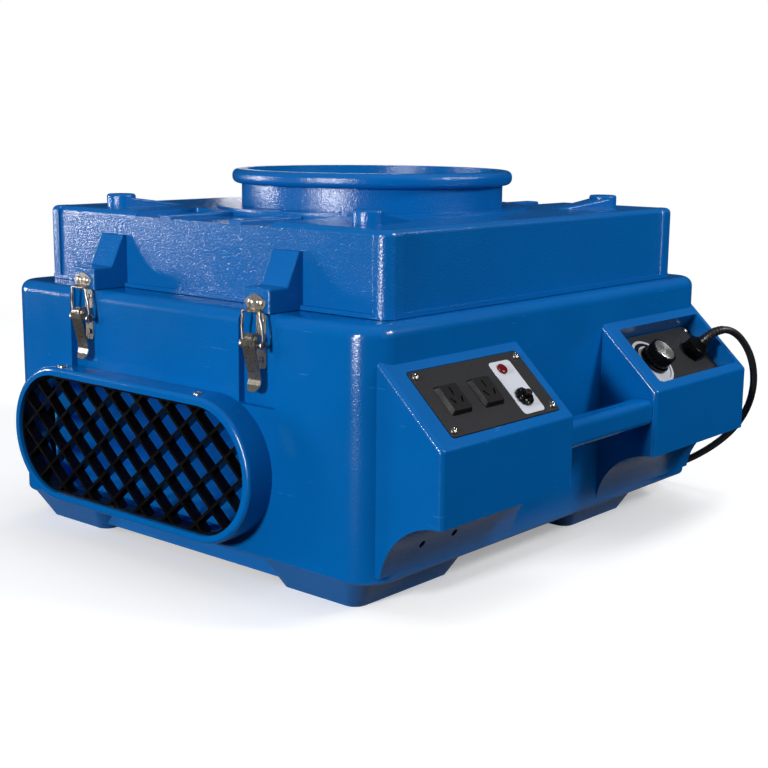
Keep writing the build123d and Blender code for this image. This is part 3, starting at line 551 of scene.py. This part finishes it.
def heads(name, frames, builder, size, body, node):
    """Steel heads of one kind and size, radius and height, that stand for a node."""
    form = bmesh.new()
    for frame in frames:
        builder(form, frame, *size)
    new_piece(name, form, "steel", body, [node], 50)


# ------------------------------------------------------------------ screws and rivets
PANEL_HEAD = (3.6, 2.4)
RING_HEAD = (4.0, 2.2)
RIVET_HEAD = (3.6, 1.5)

for name, middle, reach, top, node in (
    ("outlet_screw_heads", PANEL_MIDDLE, PANEL_SCREW_OUT, PANEL_TOP, "outlet_panel_screws"),
    ("tray_screw_heads", TRAY_MIDDLE, TRAY_SCREW_OUT, TRAY_TOP, "speed_panel_screws"),
):
    spots = [(middle + a * reach, b * SCREW_UP) for a in (-1, 1) for b in (-1, 1)]
    heads(name, [on_slope(*spot, top) for spot in spots], pan_head, PANEL_HEAD, "base", node)
ring_spots = [
    frame_at(
        at(x, RING_SCREW_Y, RING_MIDDLE_Z + side * RING_SCREW_UP),
        Vector((1, 0, 0)),
        Vector((0, 0, side)),
    )
    for x in RING_SCREW_X
    for side in (-1, 1)
]
heads("ring_screw_heads", ring_spots, pan_head, RING_HEAD, "base", "grille_screws")
keeper_spots = [
    on_face(x + across, side, KEEPER_RIVET_Z, KEEPER_FACE)
    for x, side in LATCHES
    for across in (-KEEPER_RIVET_OUT, KEEPER_RIVET_OUT)
]
heads("keeper_rivet_heads", keeper_spots, rivet_head, RIVET_HEAD, "lid", "keeper_rivets")


# ------------------------------------------------------------------ control panel details
def breaker_bezel():
    """Round notched nut round the reset button."""
    height = 5.2
    notches, notch_depth, notched_from = 12, 1.1, 8.0

    def notched(r, h, angle):
        in_notch = r >= notched_from and math.cos(notches * angle) > 0.55
        return (r - notch_depth, h) if in_notch else (r, h)

    form = bmesh.new()
    profile = [
        (3.35, 0), (3.35, height - 1.4), (3.7, height - 1.0), (5.0, height - 1.0),
        (5.4, height), (6.6, height), (7.0, height - 0.7), (8.2, height - 1.2),
        (9.2, height - 1.8), (9.4, height - 2.4), (9.4, 0),
    ]
    turned(form, on_slope(*BREAKER, LABEL_TOP), profile, 96, notched)
    new_piece("breaker_bezel", form, "gloss", "base", ["breaker_body"], 30)


def knob_inlay():
    """Turned metal disc in the knob's top, with its fine concentric tool marks."""
    face, edge_r = 1.0, 12.1
    ridge_width, ridge_lift = 0.35, 0.07
    form = bmesh.new()
    profile = [(0, face)]
    for step in range(1, int(edge_r / ridge_width)):
        profile.append((step * ridge_width, face + (ridge_lift if step % 2 else 0.0)))
    profile += [(edge_r, 0.9), (KNOB_CAP_R, 0.6), (KNOB_CAP_R, 0)]
    turned(form, on_slope(*KNOB, KNOB_TOP), profile, 72)
    new_piece("knob_inlay", form, "cap", "speed_knob", ["knob_cap"], 12)


def dial_marks():
    """Black scale on the pale dial: a band that widens round it."""
    band_r, first_width, widening, thickness = 24.8, 0.6, 6.2, 0.08
    start, end, steps = -70, 200, 96
    form = bmesh.new()
    frame = on_slope(*KNOB, DIAL_TOP)
    rows = []
    for step in range(steps + 1):
        share = step / steps
        angle = math.radians(start + (end - start) * share)
        inner = band_r - first_width - widening * share
        rows.append([form.verts.new(frame @ polar(r, angle)) for r in (inner, band_r)])
    for (a, b), (c, d) in zip(rows, rows[1:]):
        form.faces.new((a, b, d, c))
    lift = bmesh.ops.extrude_face_region(form, geom=form.faces[:])
    raised = [item for item in lift["geom"] if isinstance(item, bmesh.types.BMVert)]
    bmesh.ops.translate(form, vec=OFF_SLOPE * thickness * MM, verts=raised)
    new_piece("dial_marks", form, "black", "base")


breaker_bezel()
knob_inlay()
dial_marks()


# ------------------------------------------------------------------ pieces on the cord
def line_frames(points):
    """A frame at each point of a line, its z along the line, turning as little as may be."""
    frames = []
    along = None
    for index, point in enumerate(points):
        ahead = points[min(index + 1, len(points) - 1)] - points[max(index - 1, 0)]
        ahead.normalize()
        along = along or ahead.orthogonal().normalized()
        along = (along - ahead * along.dot(ahead)).normalized()
        frames.append(frame_at(point, along, ahead))
    return frames


def evenly_along(line, step, length):
    """Points of a line, step apart, from its start to a length along it."""
    points = []
    walked = 0.0
    for start, end in zip(line, line[1:]):
        run = (end - start).length
        while run > 0 and len(points) * step < length:
            gone = len(points) * step - walked
            if gone > run:
                break
            points.append(start.lerp(end, max(0.0, gone) / run))
        walked += run
    return points


def strain_relief():
    """Ribbed sleeve that tapers from the gland's nut onto the cord."""
    length, step = 0.027, 0.0005
    foot_r, tip_r = 6.0, 4.5
    rib_steps, groove_from = 8, 5
    segments = 28
    form = bmesh.new()
    frames = line_frames(evenly_along(CORD_LINE, step, length))
    rings = []
    for index, frame in enumerate(frames):
        share = index / (len(frames) - 1)
        radius = foot_r + (tip_r - foot_r) * share
        ribbed = rib_steps - 2 < index < len(frames) - rib_steps
        if ribbed and index % rib_steps >= groove_from:
            groove_depth = 0.7 * (1 - share) + 0.15
            radius -= groove_depth
        angles = [2 * math.pi * turn / segments for turn in range(segments)]
        rings.append([form.verts.new(frame @ polar(radius, angle)) for angle in angles])
    tube(form, rings)
    return new_piece("strain_relief", form, "rubber", "base", (), 40)


def plug_shell():
    """Moulded plug with a ribbed grip, from the cord's end to the face with its blades."""
    low, high = (Vector(corner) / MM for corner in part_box("plug_body"))
    middle_y, middle_z = (low.y + high.y) / 2, (low.z + high.z) / 2
    neck_z = at(*TAIL_ROUTE[-1]).z / MM
    body_from, body_squareness = 0.42, 0.62
    # share of the length, half width, half height, share of the way up from the cord
    stations = [(0, 6.4, 6.4, 0.0), (0.06, 6.5, 6.5, 0.1)]
    for rib in range(5):
        share = 0.1 + rib * 0.055
        climb = share * 2.4
        crest, groove = 7.2 + rib * 0.25, 6.3 + rib * 0.2
        stations += [
            (share, crest, 7.0, climb),
            (share + 0.02, crest, 7.0, climb + 0.05),
            (share + 0.025, groove, 6.2, climb + 0.06),
            (share + 0.05, groove, 6.2, climb + 0.1),
        ]
    stations += [
        (0.40, 9.5, 8.4, 1), (0.46, 13.0, 10.4, 1), (0.52, 14.4, 11.6, 1),
        (0.60, 14.6, 11.8, 1), (0.70, 13.7, 11.0, 1), (0.80, 13.7, 11.0, 1),
        (0.88, 14.8, 11.9, 1), (0.97, 14.8, 11.9, 1), (1.0, 14.0, 11.2, 1),
    ]
    segments = 48
    form = bmesh.new()
    rings = []
    for share, half_width, half_height, climb in stations:
        x = high.x + (low.x - high.x) * share
        axis_z = neck_z + (middle_z - neck_z) * min(1.0, climb)
        power = body_squareness if share > body_from else 1.0
        ring = []
        for turn in range(segments):
            angle = 2 * math.pi * turn / segments
            across, rise = math.cos(angle), math.sin(angle)
            y = middle_y + half_width * math.copysign(abs(across) ** power, across)
            z = axis_z + half_height * math.copysign(abs(rise) ** power, rise)
            ring.append(form.verts.new(Vector((x, y, z)) * MM))
        rings.append(ring)
    tube(form, rings)
    return new_piece("plug_shell", form, "rubber", "base", ["plug_body"], 40)


relief = strain_relief()
plug = plug_shell()


# ------------------------------------------------------------------ filters
def pleated(name, node, pitch):
    """Folded filter sheet that fills the box of its plain block, slightly uneven."""
    low, high = (Vector(corner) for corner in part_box(node))
    height = high.z - low.z
    fold, most_drift, most_sag = 0.86 * height, 0.06, 0.04
    count = 2 * int((high.x - low.x) / pitch)
    width = (high.x - low.x) / count
    rows = 24
    rng = random.Random(3)
    form = bmesh.new()
    grid = []
    for column in range(count + 1):
        x = low.x + column * width
        line = []
        for row in range(rows + 1):
            y = low.y + (high.y - low.y) * row / rows
            drift = 0
            if column not in (0, count):
                drift = rng.uniform(-most_drift, most_drift) * pitch
            top = high.z if column % 2 else high.z - fold
            top -= rng.uniform(0, most_sag) * height
            line.append(form.verts.new((x + drift, y, top)))
        grid.append(line)
    for first, second in zip(grid, grid[1:]):
        for row in range(rows):
            form.faces.new((first[row], second[row], second[row + 1], first[row + 1]))
    edge = [e for e in form.edges if e.is_boundary]
    skirt = bmesh.ops.extrude_edge_only(form, edges=edge)
    for item in skirt["geom"]:
        if isinstance(item, bmesh.types.BMVert):
            item.co.z = low.z
    bmesh.ops.contextual_create(form, geom=[e for e in form.edges if e.is_boundary])
    new_piece(name, form, "media", "base", [node], 25)


pleated("pleated_prefilter", "prefilter", 0.02)
pleated("pleated_media", "hepa_media", 0.008)


# ------------------------------------------------------------------ light
def studio_world():
    """White to the camera; to the object a dim room, brighter overhead and dimmer mirrored."""
    world = bpy.data.worlds.new("studio")
    world.use_nodes = True
    tree = world.node_tree
    dim = tree.nodes["Background"]
    dim.inputs["Color"].default_value = (0.94, 0.97, 1, 1)
    place = tree.nodes.new("ShaderNodeTexCoord")
    split = tree.nodes.new("ShaderNodeSeparateXYZ")
    tree.links.new(place.outputs["Generated"], split.inputs["Vector"])
    rise = map_range(tree, split.outputs["Z"], 0.03, 0.45, 0.2, 0.8)
    seen = tree.nodes.new("ShaderNodeLightPath")
    mirrored = map_range(tree, seen.outputs["Is Glossy Ray"], 1.0, 0.25, 0, 1)
    strength = tree.nodes.new("ShaderNodeMath")
    strength.operation = "MULTIPLY"
    tree.links.new(rise, strength.inputs[0])
    tree.links.new(mirrored, strength.inputs[1])
    tree.links.new(strength.outputs["Value"], dim.inputs["Strength"])
    white = tree.nodes.new("ShaderNodeBackground")
    white.inputs["Color"].default_value = (1, 1, 1, 1)
    either = tree.nodes.new("ShaderNodeMixShader")
    tree.links.new(seen.outputs["Is Camera Ray"], either.inputs["Fac"])
    tree.links.new(dim.outputs["Background"], either.inputs[1])
    tree.links.new(white.outputs["Background"], either.inputs[2])
    tree.links.new(either.outputs["Shader"], tree.nodes["World Output"].inputs["Surface"])
    bpy.context.scene.world = world


def area_light(name, spot, power, width, height):
    """A soft box aimed at the object's middle."""
    data = bpy.data.lights.new(name, "AREA")
    data.shape = "RECTANGLE"
    data.size = width
    data.size_y = height
    data.energy = power
    light = bpy.data.objects.new(name, data)
    bpy.context.scene.collection.objects.link(light)
    light.location = spot
    aimed = at(0, 0, 180) - Vector(spot)
    light.rotation_euler = aimed.to_track_quat("-Z", "Y").to_euler()
    return light


studio_world()
bpy.context.scene.view_settings.view_transform = "Standard"
area_light("left_key", (-2.32, -1.2, 0.42), 25, 0.5, 0.4)
area_light("front_key", (0.35, -2.5, 0.8), 46, 0.35, 0.3)
area_light("back_right_key", (1.9, 1.0, 1.5), 29, 0.5, 0.5)
area_light("back_panel", (-1.7, 1.67, 0.45), 1.5, 0.5, 0.3)
# this one only shows as a reflection
area_light("front_strip", (0.2, -2.4, 0.15), 30, 0.8, 0.25).visible_diffuse = False
# fills light the surfaces evenly and leave no reflection of themselves
for name, spot, power in (
    ("right_fill", (2.5, 0.5, 0.9), 9),
    ("top_fill", (0.3, 0.3, 2.4), 8),
    ("back_fill", (-1.2, 2.2, 1.2), 14),
):
    area_light(name, spot, power, 1.4, 1.2).visible_glossy = False

# ------------------------------------------------------------------ floor
FLOOR_REACH = 2.6
FADE_FROM, FADE_TO = 0.75, FLOOR_REACH * 0.8
NEAR_REACH = (0.3, 0.31)
NEAR_HEIGHT = 0.0004


def stage_floor(name, form, height):
    """A floor mesh of the given form, unseen by diffuse rays."""
    mesh = bpy.data.meshes.new(name)
    form.to_mesh(mesh)
    form.free()
    sheet = bpy.data.objects.new(name, mesh)
    bpy.context.scene.collection.objects.link(sheet)
    sheet.location.z = height
    sheet.visible_diffuse = False
    return sheet


form = bmesh.new()
bmesh.ops.create_circle(form, cap_ends=True, segments=96, radius=FLOOR_REACH)
floor = stage_floor("floor", form, 0.0)
floor.visible_glossy = False
floor_look = Shader(
    "floor", (0.86, 0.86, 0.86), 0.7, Specular_IOR_Level=0.2,
    Emission_Color=(1, 1, 1, 1), Emission_Strength=0.3,
)
reach = floor_look.tree.nodes.new("ShaderNodeVectorMath")
reach.operation = "LENGTH"
floor_look.link(floor_look.place, reach.inputs[0])
fade = floor_look.ramp(reach.outputs["Value"], 1.0, 0.0, FADE_FROM, FADE_TO)
floor_look.link(fade, floor_look.main.inputs["Alpha"])
floor.data.materials.append(floor_look.material)

# a grey sheet under the object, seen only where the object mirrors it
form = bmesh.new()
corners = [(-1, -1), (1, -1), (1, 1), (-1, 1)]
form.faces.new([form.verts.new((a * NEAR_REACH[0], b * NEAR_REACH[1], 0)) for a, b in corners])
near_floor = stage_floor("near_floor", form, NEAR_HEIGHT)
near_floor.visible_camera = False
near_floor.visible_shadow = False
near_look = Shader("near_floor", (0.36, 0.36, 0.38), 0.7, Specular_IOR_Level=0.2)
near_floor.data.materials.append(near_look.material)
